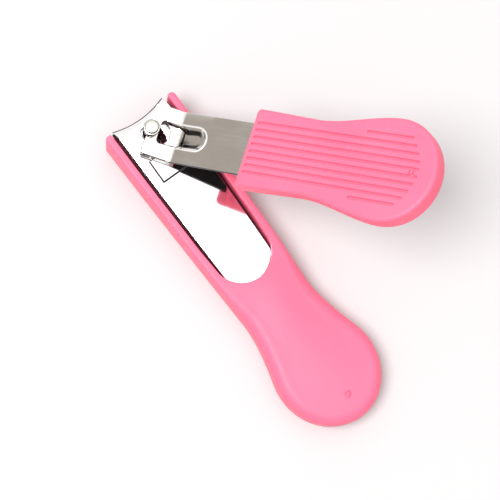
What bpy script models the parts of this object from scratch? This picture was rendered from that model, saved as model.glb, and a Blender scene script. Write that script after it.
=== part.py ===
"""Lever nail clipper: two sprung steel arms in a moulded plastic case, closed by a swivelling lever.

Frame: metres, +Z up.  The origin is where the lever pin's axis meets the case's flat underside.
+Y points to the jaws and +X to the right.  The lever is raised and swung out over the right wall.
"""

from math import asin, cos, hypot, pi, radians, sin, sqrt, tan

import bmesh
import bpy
from mathutils import Matrix, Vector

MM = 0.001
GAP = 0.3 * MM

# Case
CASE_FRONT = 4.8 * MM
CASE_REAR = -79.6 * MM
FRONT_HALF_WIDTH = 9.6 * MM
WAIST_HALF_WIDTH = 8.6 * MM
WAIST_Y = -47.5 * MM
BULB_Y = -66.4 * MM
BULB_HALF_WIDTH = 11.95 * MM
NECK_END_Y = -62.4 * MM
FRONT_HEIGHT = 10.1 * MM
WAIST_HEIGHT = 7.5 * MM
WALL = 1.75 * MM
FLOOR = 1.4 * MM
RECESS_FLOOR = 0.6 * MM
RECESS_RADIUS = 3.1 * MM
ROOF_UNDERSIDE = 6.1 * MM
OPENING_REAR = -40.9 * MM
POCKET_REAR = -61.1 * MM
POCKET_HALF_WIDTH = 6.9 * MM
CROWN = 0.45 * MM

# Arms
SHEET = 1.3 * MM
ARM_SIDE_GAP = 0.95 * MM
ARM_REAR = -60.4 * MM
TANG_HALF_WIDTH = 5.6 * MM
RIVET_Y = -56.4 * MM
BEND_Y = -38.5 * MM
CLOSING = radians(2.54)
UPPER_SLOPE = radians(5.5)
LOWER_ARM_BOTTOM = 1.8 * MM
JAW_CORNER_Y = 5.5 * MM
JAW_HOLLOW = 1.2 * MM
JAW_TURN = radians(30.0)
JAW_LENGTH = 2.6 * MM
EDGE_THICKNESS = 0.15 * MM
PIN_HOLE_HALF_WIDTH = 2.15 * MM
PIN_HOLE_REAR = -4.4 * MM
PAD_HALF_WIDTH = 4.7 * MM
PAD_FRONT = -5.2 * MM
PAD_REAR = -11.1 * MM
PAD_HEIGHT = 0.7 * MM

# Lever pin
SHANK_RADIUS = 1.6 * MM
NECK_BACK = 0.35 * MM
HEAD_RADIUS = 1.85 * MM
FLANGE_RADIUS = 2.7 * MM
FLANGE_BOTTOM = 0.9 * MM
FLANGE_TOP = 1.5 * MM
NOTCH_HALF_HEIGHT = 1.15 * MM
HEAD_HEIGHT = 1.5 * MM

# Rivet between the arms
RIVET_RADIUS = 1.5 * MM
RIVET_HEAD_RADIUS = 2.6 * MM

# Lever
SWING = radians(35.3)
FOOT_SLOPE = radians(-2.0)
LEVER_SLOPE = radians(33.0)
LEVER_HALF_WIDTH = 6.0 * MM
LEVER_FRONT = -0.7 * MM
FULCRUM_REACH = 6.1 * MM
CROSSBAR_REACH = 0.9 * MM
CROSSBAR_HALF_WIDTH = 0.8 * MM
FULCRUM_HEIGHT = 10.9 * MM
OPENING_HALF_WIDTH = 2.75 * MM
OPENING_RADIUS = 3.1 * MM
OPENING_CENTRE = 1.3 * MM
TROUGH_DEPTH = 1.2 * MM
TROUGH_REAR = 14.2 * MM
TROUGH_BOTTOM_FRONT = 2.35 * MM
TROUGH_BOTTOM_REAR = 0.8 * MM
RECESS_HALF_WIDTH = 2.1 * MM
TONGUE_HALF_WIDTH = 4.5 * MM
TONGUE_REAR = 64.0 * MM

# Lever grip
GRIP_FRONT = 25.2 * MM
GRIP_REAR = 71.0 * MM
GRIP_FRONT_HALF_WIDTH = 9.15 * MM
GRIP_WAIST_HALF_WIDTH = 8.55 * MM
GRIP_BULB_HALF_WIDTH = 11.4 * MM
GRIP_WAIST = -41.0 * MM
GRIP_BULB = -60.0 * MM
GRIP_BELOW = 1.4 * MM
GRIP_FRONT_THICKNESS = 4.2 * MM
GRIP_REAR_THICKNESS = 5.0 * MM


def clear_scene():
    """Empties the scene."""
    for obj in list(bpy.data.objects):
        bpy.data.objects.remove(obj, do_unlink=True)


def material(name, colour, roughness, metallic):
    """A Principled BSDF material of one plain colour."""
    made = bpy.data.materials.new(name)
    made.use_nodes = True
    shader = made.node_tree.nodes["Principled BSDF"]
    shader.inputs["Base Color"].default_value = (*colour, 1.0)
    shader.inputs["Roughness"].default_value = roughness
    shader.inputs["Metallic"].default_value = metallic
    return made


def add_object(name, bm, finish=None):
    """A new object from a bmesh, normals made consistent, smooth except at edges over 35 degrees."""
    bmesh.ops.recalc_face_normals(bm, faces=bm.faces[:])
    mesh = bpy.data.meshes.new(name)
    bm.to_mesh(mesh)
    bm.free()
    mesh.shade_smooth()
    mesh.set_sharp_from_angle(angle=radians(35))
    obj = bpy.data.objects.new(name, mesh)
    bpy.context.scene.collection.objects.link(obj)
    if finish:
        mesh.materials.append(finish)
    return obj


def close_in_pairs(bm, loop):
    """Fills a loop whose two halves mirror each other, with faces that join the facing points."""
    count = len(loop)
    for i in range((count - 1) // 2):
        j = count - 1 - i
        bm.faces.new(dict.fromkeys((loop[i], loop[i + 1], loop[j - 1], loop[j])))


def loft(rings, cap="flat"):
    """A bmesh through closed rings of equal length, bridged in order.

    Its ends are closed with one flat face each ("flat") or with faces in pairs ("pairs").
    """
    bm = bmesh.new()
    loops = [[bm.verts.new(point) for point in ring] for ring in rings]
    for one, two in zip(loops, loops[1:]):
        for i in range(len(one)):
            j = (i + 1) % len(one)
            bm.faces.new((one[i], one[j], two[j], two[i]))
    for loop in (loops[0], loops[-1]):
        if cap == "flat":
            bm.faces.new(loop)
        if cap == "pairs":
            close_in_pairs(bm, loop)
    return bm


def prism(outline, low, high):
    """A bmesh of an (x, y) outline extruded from height low to height high."""
    return loft([[(x, y, z) for x, y in outline] for z in (low, high)])


def turned(profile, steps):
    """A bmesh of a (radius, height) profile spun about Z; it starts and ends on the axis."""
    bm = bmesh.new()
    chain = [bm.verts.new((radius, 0.0, height)) for radius, height in profile]
    edges = [bm.edges.new(pair) for pair in zip(chain, chain[1:])]
    bmesh.ops.spin(
        bm,
        geom=chain + edges,
        cent=(0, 0, 0),
        axis=(0, 0, 1),
        angle=2 * pi,
        steps=steps,
        use_merge=True,
    )
    bmesh.ops.remove_doubles(bm, verts=bm.verts[:], dist=1e-7)
    return bm


def boolean(target, name, bm, operation, matrix=None):
    """A Boolean modifier on target with a hidden helper object made from bm."""
    helper = add_object(name, bm)
    if matrix:
        helper.matrix_world = matrix
    helper.hide_render = True
    helper.display_type = "WIRE"
    step = target.modifiers.new(name, "BOOLEAN")
    step.operation = operation
    step.solver = "EXACT"
    step.object = helper


def soften(obj, width, segments):
    """Rounds the object's edges with a Bevel modifier."""
    step = obj.modifiers.new("edges", "BEVEL")
    step.width = width
    step.segments = segments
    step.limit_method = "ANGLE"
    step.angle_limit = radians(40)


def smoothstep(low, high, value):
    """0 at low, 1 at high, with a smooth change between; low may be the larger."""
    t = min(max((value - low) / (high - low), 0.0), 1.0)
    return t * t * (3 - 2 * t)


def arc(centre, radius, start, end, steps):
    """Points on a circle in the plane, from angle start to angle end."""
    turn = (end - start) / steps
    return [
        (
            centre[0] + radius * cos(start + i * turn),
            centre[1] + radius * sin(start + i * turn),
        )
        for i in range(steps + 1)
    ]


def bulb_outline(front, rear, corner, half_width, bulb_at, bulb_half_width, stations):
    """(x, y) points down the right side of a waisted handle, from front to rear.

    corner is the radius of the front corner.  half_width gives the width ahead of bulb_at; behind it
    the outline is a quarter of an ellipse that ends on the middle line.
    """
    side = arc((half_width(front) - corner, front - corner), corner, pi / 2, 0.0, 4)[:-1]
    front -= corner
    for i in range(stations):
        y = front + (bulb_at - front) * i / stations
        side.append((half_width(y), y))
    end_steps = 10
    for i in range(end_steps + 1):
        angle = i * pi / 2 / end_steps
        side.append((bulb_half_width * cos(angle), bulb_at - (bulb_at - rear) * sin(angle)))
    return side


def pillow(side, rings):
    """A closed body over a plan outline that is mirrored about X = 0.

    side lists the right half of the plan from front to rear.  Each ring is a function that places
    a plan point, given its x, its y and the plan's outward normal there.
    """
    left = [(-x, y) for x, y in reversed(side[:-1])]
    plan = side + left
    loops = []
    for ring in rings:
        loop = []
        for i, (x, y) in enumerate(plan):
            before = plan[i - 1]
            after = plan[(i + 1) % len(plan)]
            along = Vector((after[0] - before[0], after[1] - before[1])).normalized()
            loop.append(ring(x, y, Vector((-along.y, along.x))))
        loops.append(loop)
    return loft(loops, cap="pairs")


def case_half_width(y):
    """Half the case's width at y, ahead of the bulb's centre."""
    waist = WAIST_HALF_WIDTH
    if y >= WAIST_Y:
        along = max(CASE_FRONT - y, 0.0) / (CASE_FRONT - WAIST_Y)
        return FRONT_HALF_WIDTH + (waist - FRONT_HALF_WIDTH) * along**1.5
    reach = BULB_Y - CASE_REAR
    if y <= NECK_END_Y:
        return BULB_HALF_WIDTH * sqrt(1 - ((y - BULB_Y) / reach) ** 2)
    share = sqrt(1 - ((NECK_END_Y - BULB_Y) / reach) ** 2)
    end = BULB_HALF_WIDTH * share
    slope = BULB_HALF_WIDTH * (NECK_END_Y - BULB_Y) / (reach * reach * share)
    length = WAIST_Y - NECK_END_Y
    t = (WAIST_Y - y) / length
    return waist + (3 * t * t - 2 * t**3) * (end - waist) + (t**3 - t * t) * slope * length


def case_height(y):
    """Height of the case's rim at y: it slopes down to the waist and is level behind it."""
    along = min((CASE_FRONT - y) / (CASE_FRONT - WAIST_Y), 1.0)
    return FRONT_HEIGHT + (WAIST_HEIGHT - FRONT_HEIGHT) * along


def inner_half_width(y):
    """Half the width between the case's side walls."""
    return case_half_width(max(y, OPENING_REAR)) - WALL


def make_case(finish):
    """The one-piece case: a channel that is open at the front and a hollow-necked handle behind."""
    corner = 1.0 * MM
    side = bulb_outline(CASE_FRONT, CASE_REAR, corner, case_half_width, BULB_Y, BULB_HALF_WIDTH, 22)
    foot = 0.5 * MM

    def edge_radius(y):
        return (0.7 + 2.0 * smoothstep(-34 * MM, -48 * MM, y)) * MM

    def at(inset, height):
        def ring(x, y, normal):
            return (x - normal.x * inset(y), y - normal.y * inset(y), height(y))

        return ring

    def rounded(angle):
        return at(
            lambda y: edge_radius(y) * (1 - cos(angle)),
            lambda y: case_height(y) - edge_radius(y) * (1 - sin(angle)),
        )

    def crowned(share):
        def ring(x, y, normal):
            inward = edge_radius(y)
            x -= normal.x * inward
            y -= normal.y * inward
            crown = CROWN * smoothstep(-34 * MM, -48 * MM, y) * (1 - share * share)
            if y < BULB_Y:
                y = BULB_Y + (y - BULB_Y) * share
            return (x * share, y, case_height(y) + crown)

        return ring

    rings = [at(lambda y: foot, lambda y: 0.0), at(lambda y: 0.0, lambda y: foot)]
    rings += [rounded(step * pi / 8) for step in range(5)]
    rings += [crowned(share) for share in (0.72, 0.4, 0.12)]
    case = add_object("case", pillow(side, rings), finish)

    end_radius = inner_half_width(OPENING_REAR)
    centre = OPENING_REAR + end_radius
    front_width = inner_half_width(CASE_FRONT)
    right = [(front_width, CASE_FRONT + 4 * MM), (front_width, CASE_FRONT)]
    right += [(inner_half_width(y), y) for y in (-7.6 * MM, -17.6 * MM)]
    end = arc((0.0, centre), end_radius, 0.0, -pi, 20)
    opening = right + end + [(-x, y) for x, y in reversed(right)]
    boolean(case, "cut_opening", prism(opening, FLOOR, 20 * MM), "DIFFERENCE")

    corner = 2.5 * MM
    w = POCKET_HALF_WIDTH
    pocket = [(w, centre)]
    pocket += arc((w - corner, POCKET_REAR + corner), corner, 0.0, -pi / 2, 5)
    pocket += arc((-w + corner, POCKET_REAR + corner), corner, -pi / 2, -pi, 5)
    pocket += [(-w, centre)]
    boolean(case, "cut_pocket", prism(pocket, FLOOR, ROOF_UNDERSIDE), "DIFFERENCE")

    for name, y in (("cut_pin_recess", 0.0), ("cut_rivet_recess", RIVET_Y)):
        ring = arc((0.0, y), RECESS_RADIUS, 0.0, 2 * pi, 28)[:-1]
        boolean(case, name, prism(ring, RECESS_FLOOR, FLOOR + GAP), "DIFFERENCE")
    return case


def walk(start, heading, moves, steps=5):
    """Points along a path in a plane: each move is (straight length, turn angle, turn radius)."""
    points = [start]
    place = start
    for length, turn, radius in moves:
        place = (place[0] + length * cos(heading), place[1] + length * sin(heading))
        points.append(place)
        for _ in range(steps if turn else 0):
            step = turn / steps
            chord = 2 * radius * sin(abs(step) / 2)
            heading += step / 2
            place = (place[0] + chord * cos(heading), place[1] + chord * sin(heading))
            heading += step / 2
            points.append(place)
    return points


def thickened(path, thickness, side):
    """The path's points moved square to it by thickness(index) towards side (+1 left of travel)."""
    moved = []
    for i, point in enumerate(path):
        before = path[max(i - 1, 0)]
        after = path[min(i + 1, len(path) - 1)]
        length = hypot(after[0] - before[0], after[1] - before[1])
        across = (-(after[1] - before[1]) / length, (after[0] - before[0]) / length)
        by = side * thickness(i)
        moved.append((point[0] + across[0] * by, point[1] + across[1] * by))
    return moved


def arm_half_width(y):
    """Half an arm's width at y: it follows the walls and narrows to a tang inside the handle."""
    front = inner_half_width(max(y, OPENING_REAR)) - ARM_SIDE_GAP
    narrowing = smoothstep(OPENING_REAR + 1 * MM, OPENING_REAR - 4 * MM, y)
    return front + (TANG_HALF_WIDTH - front) * narrowing


def make_arm(name, path, outward, finish):
    """A sprung strip that ends in a sharpened jaw with a hollow edge.

    path is its inner face, from the rear end to the edge.  outward is the side it thickens to.
    """
    count = len(path)

    def thickness(i):
        run = path[-1][0] - path[i][0]
        return EDGE_THICKNESS + (SHEET - EDGE_THICKNESS) * min(run / JAW_LENGTH, 1.0)

    profile = path + thickened(path, thickness, outward)[::-1]
    rings = []
    columns = 10
    for column in range(columns + 1):
        u = -1 + 2 * column / columns
        ring = []
        for index, (y, z) in enumerate(profile):
            i = min(index, 2 * count - 1 - index)
            reach = smoothstep(JAW_CORNER_Y - 5 * MM, JAW_CORNER_Y, path[i][0])
            ring.append((u * arm_half_width(y), y - JAW_HOLLOW * (1 - u * u) * reach, z))
        rings.append(ring)
    return add_object(name, loft(rings, cap="pairs"), finish)


def circle_cut(arm, name, y, radius):
    """A round hole straight through an arm, on its middle line."""
    ring = arc((0.0, y), radius, 0.0, 2 * pi, 24)[:-1]
    boolean(arm, name, prism(ring, -5 * MM, 20 * MM), "DIFFERENCE")


def pin_slot_cut(arm, name):
    """The slot the lever pin passes through, the same in both arms and longer behind the pin."""
    w = PIN_HOLE_HALF_WIDTH
    front = SHANK_RADIUS + GAP - w
    slot = arc((0.0, front), w, pi, 0.0, 13) + arc((0.0, PIN_HOLE_REAR + w), w, 0.0, -pi, 13)
    boolean(arm, name, prism(slot, -5 * MM, 20 * MM), "DIFFERENCE")


def make_lower_arm(finish):
    """The lower arm, whose parent empty lies on the line it swings about at the rivet."""
    flat = JAW_CORNER_Y - JAW_LENGTH - ARM_REAR
    moves = [(flat / 2, 0, 0), (flat / 2, JAW_TURN, 2.5 * MM), (1.55 * MM, 0, 0)]
    arm = make_arm("lower_arm", walk((ARM_REAR, LOWER_ARM_BOTTOM + SHEET), 0.0, moves), -1, finish)
    pin_slot_cut(arm, "cut_lower_pin_slot")
    circle_cut(arm, "cut_lower_rivet_hole", RIVET_Y, RIVET_RADIUS + GAP)
    soften(arm, 0.12 * MM, 1)
    hinge = add_empty("arm_hinge", (0, RIVET_Y, LOWER_ARM_BOTTOM + SHEET + GAP / 2))
    arm.parent = hinge
    arm.location = -hinge.location


def upper_arm_top(y):
    """Height of the upper arm's outer face on its sloping stretch."""
    at_bend = LOWER_ARM_BOTTOM + 2 * SHEET + GAP + (BEND_Y - RIVET_Y) * tan(CLOSING)
    return at_bend + (y - BEND_Y) * tan(UPPER_SLOPE)


def make_upper_arm(finish):
    """The upper arm: it rises from the rivet, steepens at the bend and carries the fulcrum pad."""
    bottom = LOWER_ARM_BOTTOM + SHEET + GAP
    jaw_start = JAW_CORNER_Y - JAW_LENGTH
    moves = [
        (RIVET_Y - ARM_REAR - 0.5 * MM, CLOSING, 12 * MM),
        ((BEND_Y - RIVET_Y - 0.8 * MM) / cos(CLOSING), UPPER_SLOPE - CLOSING, 12 * MM),
        ((jaw_start - BEND_Y - 0.4 * MM) / cos(UPPER_SLOPE), -UPPER_SLOPE - JAW_TURN, 2.5 * MM),
        (1.75 * MM, 0, 0),
    ]
    path = walk((ARM_REAR, bottom), 0.0, moves)
    arm = make_arm("upper_arm", path, +1, finish)

    pad = []
    chamfer = 0.5 * MM
    for share, inset in ((-0.5, 0.0), (0.45, 0.0), (1.0, chamfer)):
        w = PAD_HALF_WIDTH - inset
        rear = PAD_REAR + inset
        front = PAD_FRONT - inset
        corners = ((w, rear), (w, front), (-w, front), (-w, rear))
        pad.append([(x, y, upper_arm_top(y) + share * PAD_HEIGHT) for x, y in corners])
    boolean(arm, "fulcrum_pad", loft(pad), "UNION")

    pin_slot_cut(arm, "cut_upper_pin_slot")
    circle_cut(arm, "cut_upper_rivet_hole", RIVET_Y, RIVET_RADIUS + GAP)
    soften(arm, 0.12 * MM, 1)


def make_rivet(finish):
    """The rivet that ties the arms together inside the handle's neck."""
    head = RIVET_HEAD_RADIUS
    high = LOWER_ARM_BOTTOM + 2 * SHEET + 2 * GAP
    profile = [(0, FLANGE_BOTTOM), (head - 0.3 * MM, FLANGE_BOTTOM), (head, FLANGE_BOTTOM + 0.2 * MM)]
    profile += [(head, FLANGE_TOP), (RIVET_RADIUS, FLANGE_TOP), (RIVET_RADIUS, high), (head, high)]
    profile += [(head, high + 0.2 * MM), (head - 0.4 * MM, high + 0.5 * MM), (0, high + 0.5 * MM)]
    rivet = add_object("arm_rivet", turned(profile, 32), finish)
    rivet.location = (0, RIVET_Y, 0)


def crossbar_height():
    """Height of the crossbar's middle, which the pin's notch holds."""
    run = FULCRUM_REACH - CROSSBAR_REACH
    return FULCRUM_HEIGHT - run * tan(FOOT_SLOPE) + SHEET / 2 / cos(FOOT_SLOPE)


def make_pin(finish):
    """The lever pin: a flange under the lower arm, a shank and a domed head above a notch."""
    notch = crossbar_height()
    head = notch + NOTCH_HALF_HEIGHT
    profile = [(0, FLANGE_BOTTOM), (FLANGE_RADIUS - 0.2 * MM, FLANGE_BOTTOM)]
    profile += [(FLANGE_RADIUS, FLANGE_BOTTOM + 0.2 * MM), (FLANGE_RADIUS, FLANGE_TOP)]
    profile += [(SHANK_RADIUS, FLANGE_TOP), (SHANK_RADIUS, head), (HEAD_RADIUS, head + 0.25 * MM)]
    rim = 0.45 * MM
    for i in range(6):
        angle = i * pi / 12
        height = head + rim + (HEAD_HEIGHT - rim) * sin(angle)
        profile.append((HEAD_RADIUS * cos(angle), height))
    profile.append((0, head + HEAD_HEIGHT))
    pin = add_object("lever_pin", turned(profile, 36), finish)
    reach = 6 * MM
    box = [(-reach, -reach), (reach, -reach), (reach, NECK_BACK), (-reach, NECK_BACK)]
    cutter = prism(box, notch - NOTCH_HALF_HEIGHT, notch + NOTCH_HALF_HEIGHT)
    boolean(pin, "cut_notch", cutter, "DIFFERENCE", Matrix.Rotation(SWING, 4, "Z"))


def lever_half_width(length):
    """Half the lever's width at a distance behind the pin: a tongue inside the grip is narrower."""
    narrowing = smoothstep(GRIP_FRONT + 1 * MM, GRIP_FRONT + 4 * MM, length)
    rounding = smoothstep(TONGUE_REAR - 3 * MM, TONGUE_REAR, length)
    return LEVER_HALF_WIDTH + (TONGUE_HALF_WIDTH - LEVER_HALF_WIDTH) * narrowing - 2 * MM * rounding


def trough_depth(length):
    """How far the fulcrum trough is pressed down at a distance behind the pin."""
    deepest = TROUGH_DEPTH * smoothstep(1.9 * MM, 3.0 * MM, length)
    taper = (TROUGH_REAR - length) / (TROUGH_REAR - FULCRUM_REACH - 1 * MM)
    return deepest * min(max(taper, 0.0), 1.0)


def lever_solid(grow):
    """The lever strip in its own frame (origin at the crossbar), every face moved out by grow."""
    half = SHEET / 2 + grow
    bend = 3.0 * MM
    ahead = CROSSBAR_REACH - LEVER_FRONT + grow
    turn = LEVER_SLOPE - FOOT_SLOPE
    tangent = bend * tan(turn / 2)
    start = (-ahead * cos(FOOT_SLOPE), -ahead * sin(FOOT_SLOPE))
    foot = ahead + FULCRUM_REACH - CROSSBAR_REACH - tangent
    moves = [(foot / 10, 0, 0)] * 9 + [(foot / 10, turn, bend)]
    past_trough = TROUGH_REAR - FULCRUM_REACH - tangent
    moves += [(past_trough / 8, 0, 0)] * 8
    moves += [((TONGUE_REAR - TROUGH_REAR + grow) / 12, 0, 0)] * 12
    path = walk(start, FOOT_SLOPE, moves)
    travelled = [LEVER_FRONT - grow]
    for one, two in zip(path, path[1:]):
        travelled.append(travelled[-1] + hypot(two[0] - one[0], two[1] - one[1]))

    def side(width, pressed):
        """One lengthwise ring at a width given by length, pressed down by the trough or level."""
        depths = [trough_depth(length) if pressed else 0.0 for length in travelled]
        above = thickened(path, lambda i: half - depths[i], +1)
        below = thickened(path, lambda i: -half - depths[i], +1)
        widths = [width(length) for length in travelled]
        ring = [(w, -length, height) for w, (length, height) in zip(widths, below)]
        ring += [(w, -length, height) for w, (length, height) in zip(widths[::-1], above[::-1])]
        return ring

    def outer(length):
        return lever_half_width(length) + grow

    def rim(length):
        return OPENING_HALF_WIDTH

    def bottom(length):
        narrowing = smoothstep(FULCRUM_REACH - 0.5 * MM, FULCRUM_REACH + 3 * MM, length)
        return TROUGH_BOTTOM_FRONT + (TROUGH_BOTTOM_REAR - TROUGH_BOTTOM_FRONT) * narrowing

    rings = [side(outer, False), side(rim, False), side(bottom, True)]
    rings = [[(-w, y, z) for w, y, z in ring] for ring in rings] + rings[::-1]
    return loft(rings, cap="pairs")


def make_lever(finish, parent):
    """The steel lever: a foot with a crossbar and pin opening, a pressed fulcrum and a long strip."""
    lever = add_object("lever", lever_solid(0.0), finish)
    lever.parent = parent
    frame = parent.matrix_world
    front = -CROSSBAR_HALF_WIDTH
    w = OPENING_HALF_WIDTH
    corner = 1.0 * MM
    reach = asin(w / OPENING_RADIUS)
    centre = (0.0, CROSSBAR_REACH - OPENING_CENTRE)
    opening = arc((w - corner, front - corner), corner, pi / 2, 0.0, 4)
    opening += arc(centre, OPENING_RADIUS, -pi / 2 + reach, -pi / 2 - reach, 12)
    opening += arc((-w + corner, front - corner), corner, pi, pi / 2, 4)
    boolean(lever, "cut_opening_for_pin", prism(opening, -8 * MM, 16 * MM), "DIFFERENCE", frame)

    w = RECESS_HALF_WIDTH
    back = CROSSBAR_HALF_WIDTH
    right = [(w, 4 * MM), (w, back + 0.4 * MM), (w - 0.6 * MM, back)]
    recess = right + [(-x, y) for x, y in reversed(right)]
    boolean(lever, "cut_recess", prism(recess, -3 * MM, 3 * MM), "DIFFERENCE", frame)
    soften(lever, 0.15 * MM, 2)


def grip_half_width(y):
    """Half the grip's width at y (negative behind the pin), ahead of the bulb's centre."""
    if y >= GRIP_WAIST:
        along = (-GRIP_FRONT - y) / (-GRIP_FRONT - GRIP_WAIST)
        return GRIP_FRONT_HALF_WIDTH + (GRIP_WAIST_HALF_WIDTH - GRIP_FRONT_HALF_WIDTH) * along
    widening = smoothstep(GRIP_WAIST, GRIP_BULB, y)
    return GRIP_WAIST_HALF_WIDTH + (GRIP_BULB_HALF_WIDTH - GRIP_WAIST_HALF_WIDTH) * widening


def make_grip(finish, parent):
    """The plastic grip, moulded around the lever's tongue with a gap all round it."""
    side = bulb_outline(
        -GRIP_FRONT, -GRIP_REAR, 1.6 * MM, grip_half_width, GRIP_BULB, GRIP_BULB_HALF_WIDTH, 16
    )
    radius = 1.3 * MM

    def thickness(y):
        along = (-GRIP_FRONT - y) / (GRIP_REAR - GRIP_FRONT)
        return GRIP_FRONT_THICKNESS + (GRIP_REAR_THICKNESS - GRIP_FRONT_THICKNESS) * along

    def at(inset, share, add):
        def ring(x, y, normal):
            height = share * thickness(y) + add - GRIP_BELOW
            return (x - normal.x * inset, y - normal.y * inset, height)

        return ring

    angles = [step * pi / 6 for step in range(4)]
    rings = [at(radius * (1 - sin(a)), 0, radius * (1 - cos(a))) for a in angles]
    rings += [at(radius * (1 - cos(a)), 1, -radius * (1 - sin(a))) for a in angles]
    grip = add_object("lever_grip", pillow(side, rings), finish)
    grip.parent = parent
    run = FULCRUM_REACH - CROSSBAR_REACH
    bend = Vector((0, -run * cos(FOOT_SLOPE), run * sin(FOOT_SLOPE)))
    along_lever = Matrix.Translation(bend) @ Matrix.Rotation(-LEVER_SLOPE, 4, "X")
    grip.matrix_local = along_lever @ Matrix.Translation((0, FULCRUM_REACH, -SHEET / 2))
    boolean(grip, "cut_tongue", lever_solid(GAP), "DIFFERENCE", parent.matrix_world)


def add_empty(name, place):
    """An empty that marks a joint's axis."""
    empty = bpy.data.objects.new(name, None)
    empty.location = place
    bpy.context.scene.collection.objects.link(empty)
    return empty


def make_lever_frame():
    """The crossbar's axis in the raised, swung-out pose; its parent turns about the pin."""
    pin_axis = add_empty("pin_axis", (0, 0, 0))
    pin_axis.rotation_euler = (0, 0, SWING)
    crossbar = add_empty("crossbar_axis", (0, -CROSSBAR_REACH, crossbar_height()))
    crossbar.parent = pin_axis
    bpy.context.view_layer.update()
    return crossbar


def main():
    """Builds the seven pieces in their rest pose."""
    clear_scene()
    pink = material("case_plastic", (0.99, 0.33, 0.47), 0.35, 0.0)
    grip_pink = material("grip_plastic", (0.99, 0.31, 0.45), 0.4, 0.0)
    chrome = material("arm_steel", (0.85, 0.85, 0.86), 0.08, 1.0)
    lever_steel = material("lever_steel", (0.8, 0.79, 0.78), 0.16, 1.0)
    pin_steel = material("pin_steel", (0.84, 0.84, 0.84), 0.12, 1.0)
    make_case(pink)
    make_lower_arm(chrome)
    make_upper_arm(chrome)
    make_rivet(pin_steel)
    make_pin(pin_steel)
    crossbar = make_lever_frame()
    make_lever(lever_steel, crossbar)
    make_grip(grip_pink, crossbar)


main()
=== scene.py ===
from math import asin, cos, hypot, pi, radians, sin, sqrt, tan

import bmesh
import bpy
from mathutils import Matrix, Vector


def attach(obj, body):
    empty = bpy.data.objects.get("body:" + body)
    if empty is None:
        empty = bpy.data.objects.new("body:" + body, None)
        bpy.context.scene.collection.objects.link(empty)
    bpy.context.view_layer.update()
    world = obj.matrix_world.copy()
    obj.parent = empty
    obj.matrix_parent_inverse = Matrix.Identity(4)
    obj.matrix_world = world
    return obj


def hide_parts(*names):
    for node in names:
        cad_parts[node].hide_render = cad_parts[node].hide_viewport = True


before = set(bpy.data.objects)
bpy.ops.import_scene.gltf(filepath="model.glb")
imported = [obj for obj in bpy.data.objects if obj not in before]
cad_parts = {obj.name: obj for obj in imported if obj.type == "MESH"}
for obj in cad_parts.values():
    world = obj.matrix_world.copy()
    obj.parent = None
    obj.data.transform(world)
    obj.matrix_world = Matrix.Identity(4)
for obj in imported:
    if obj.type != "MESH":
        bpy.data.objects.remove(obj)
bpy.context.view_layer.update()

# All sizes below are in millimetres, in the frame of the CAD model.
MM = 0.001

# Case
CASE_FRONT = 4.8
CASE_REAR = -79.6
FRONT_HALF_WIDTH = 9.6
WAIST_HALF_WIDTH = 8.6
WAIST_Y = -47.5
BULB_Y = -66.4
BULB_HALF_WIDTH = 11.95
NECK_END_Y = -62.4
FRONT_HEIGHT = 10.1
WAIST_HEIGHT = 7.5
WALL = 1.75
FLOOR = 1.4
ROOF_UNDERSIDE = 6.1
OPENING_REAR = -40.9
POCKET_REAR = -61.1
POCKET_HALF_WIDTH = 6.9
POCKET_CORNER = 2.5
UNDER_HOLE_RADIUS = 3.1
UNDER_HOLE_BOTTOM = 0.6
CROWN = 0.45
CASE_GATE_Y = -73.65

# Arms
SHEET = 1.3
ARM_SIDE_GAP = 0.95
ARM_REAR = -60.4
TANG_HALF_WIDTH = 5.6
RIVET_Y = -56.4
RIVET_HOLE_RADIUS = 1.8
BEND_Y = -38.5
CLOSING = radians(2.54)
UPPER_SLOPE = radians(5.5)
LOWER_ARM_BOTTOM = 1.8
ARM_GAP = 0.3
JAW_CORNER_Y = 5.5
JAW_HOLLOW = 1.2
JAW_TURN = radians(30.0)
JAW_LENGTH = 2.6
EDGE_THICKNESS = 0.12
# Width of the band along the jaw's edge that is painted near-black: painted shade that draws the edge as a
# line.
PAINTED_EDGE_LINE_LENGTH = 0.5
HOLLOW_REACH = 5.0
PIN_HOLE_HALF_WIDTH = 2.15
PIN_HOLE_REAR = -4.4
PIN_CLEARANCE = 0.3
PAD_HALF_WIDTH = 4.7
PAD_FRONT = -5.2
PAD_REAR = -11.1
PAD_HEIGHT = 0.7

# Lever pin
SHANK_RADIUS = 1.6
NECK_BACK = 0.35
HEAD_RADIUS = 1.85
NOTCH_HALF_HEIGHT = 1.15
HEAD_HEIGHT = 1.5
FLANGE_RADIUS = 2.7
FLANGE_BOTTOM = 0.9
FLANGE_TOP = 1.5

# Lever
SWING = radians(35.3)
FOOT_SLOPE = radians(-2.0)
LEVER_SLOPE = radians(33.0)
LEVER_HALF_WIDTH = 6.0
LEVER_FRONT = -0.7
FULCRUM_REACH = 6.1
CROSSBAR_REACH = 0.9
CROSSBAR_REAR = 1.7
FULCRUM_HEIGHT = 10.9
OPENING_HALF_WIDTH = 2.75
OPENING_RADIUS = 3.1
OPENING_CENTRE = 1.3
TROUGH_DEPTH = 1.2
TROUGH_END_DEPTH = 0.6
TROUGH_REAR = 13.9
RECESS_HALF_WIDTH = 2.1
TONGUE_REAR = 64.0
TONGUE_HALF_WIDTH = 4.5
LEVER_BEND_RADIUS = 3.0

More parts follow.
